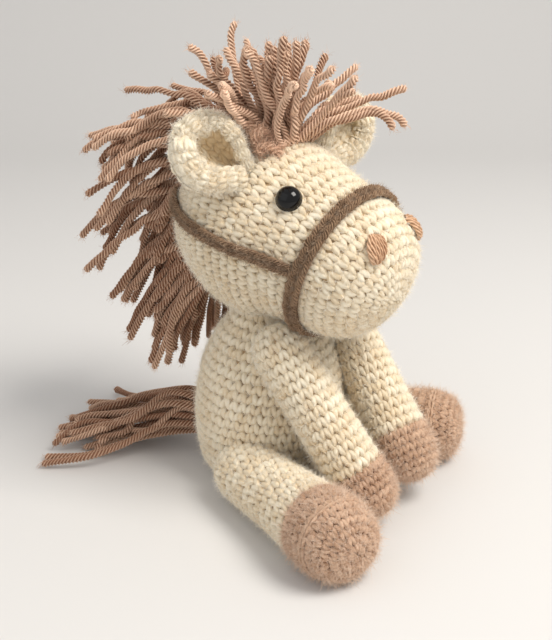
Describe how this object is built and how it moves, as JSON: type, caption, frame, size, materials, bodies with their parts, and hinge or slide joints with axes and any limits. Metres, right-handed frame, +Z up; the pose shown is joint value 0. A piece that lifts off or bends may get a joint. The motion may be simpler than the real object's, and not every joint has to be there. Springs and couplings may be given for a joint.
{
  "type": "plush horse",
  "caption": "Seated crocheted plush horse: stuffed body and head, cupped ears, yarn mane and tail, noseband and cheek strap, and soft limbs that end in hooves of a darker yarn.",
  "frame": {"origin": "centre of the flat patch under the body, on the surface that it sits on", "axes": "+Z up; the horse sits facing -Y, and its right side is -X"},
  "size_m": [0.1321, 0.1876, 0.1919],
  "materials": {
    "cream_yarn": "matte, fuzzy crochet",
    "tan_yarn": "matte, fuzzy crochet",
    "mane_yarn": "matte plied yarn",
    "bridle_yarn": "matte, fuzzy",
    "eye_plastic": "polished",
    "washer_plastic": "as moulded",
    "fibrefill": "loose fibre"
  },
  "bodies": {
    "torso": {"body_skin": "cream_yarn", "body_stuffing": "fibrefill"},
    "head": {"head_skin": "cream_yarn", "head_stuffing": "fibrefill", "eye_right": "eye_plastic", "eye_left": "eye_plastic", "eye_washer_right": "washer_plastic", "eye_washer_left": "washer_plastic", "nostril_stitch_right": "mane_yarn", "nostril_stitch_left": "mane_yarn", "noseband": "bridle_yarn", "cheek_strap": "bridle_yarn", "forelock": "mane_yarn", "mane_lock_1": "mane_yarn", "mane_lock_2": "mane_yarn", "mane_lock_3": "mane_yarn", "mane_lock_4": "mane_yarn", "mane_lock_5": "mane_yarn", "mane_lock_6": "mane_yarn"},
    "tail_body": {"tail": "mane_yarn"},
    "right_arm": {"arm_skin_right": "cream_yarn", "front_hoof_right": "tan_yarn", "arm_stuffing_right": "fibrefill"},
    "right_leg": {"leg_skin_right": "cream_yarn", "hind_hoof_right": "tan_yarn", "leg_stuffing_right": "fibrefill"},
    "right_ear": {"ear_right": "cream_yarn"},
    "left_arm": {"arm_skin_left": "cream_yarn", "front_hoof_left": "tan_yarn", "arm_stuffing_left": "fibrefill"},
    "left_leg": {"leg_skin_left": "cream_yarn", "hind_hoof_left": "tan_yarn", "leg_stuffing_left": "fibrefill"},
    "left_ear": {"ear_left": "cream_yarn"}
  },
  "joints": [
    {"name": "neck_nod", "type": "hinge", "parent": "torso", "child": "head", "pos_m": [0, 0.004, 0.076], "axis": [0.9877, -0.1564, 0], "range_deg": [-10, 5]},
    {"name": "tail_swing", "type": "hinge", "parent": "torso", "child": "tail_body", "pos_m": [0, 0.04194, 0.017], "axis": [0, 0, 1], "range_deg": [-20, 20]},
    {"name": "right_arm_raise", "type": "hinge", "parent": "torso", "child": "right_arm", "pos_m": [-0.0232, -0.0155, 0.0675], "axis": [1, 0, 0], "range_deg": [-20, 0]},
    {"name": "right_leg_spread", "type": "hinge", "parent": "torso", "child": "right_leg", "pos_m": [-0.03, -0.004, 0.0133], "axis": [0, 0, -1], "range_deg": [0, 30]},
    {"name": "right_ear_flop", "type": "hinge", "parent": "head", "child": "right_ear", "pos_m": [-0.02355, -0.00088, 0.1345], "axis": [-0.4615, -0.8356, 0.298], "range_deg": [0, 25]},
    {"name": "left_arm_raise", "type": "hinge", "parent": "torso", "child": "left_arm", "pos_m": [0.0232, -0.019, 0.0675], "axis": [1, 0, 0], "range_deg": [-20, 0]},
    {"name": "left_leg_spread", "type": "hinge", "parent": "torso", "child": "left_leg", "pos_m": [0.03, 0.0035, 0.0133], "axis": [0, 0, 1], "range_deg": [0, 30]},
    {"name": "left_ear_flop", "type": "hinge", "parent": "head", "child": "left_ear", "pos_m": [0.02089, -0.00792, 0.1345], "axis": [0.2478, 0.966, 0.0744], "range_deg": [0, 25]}
  ]
}
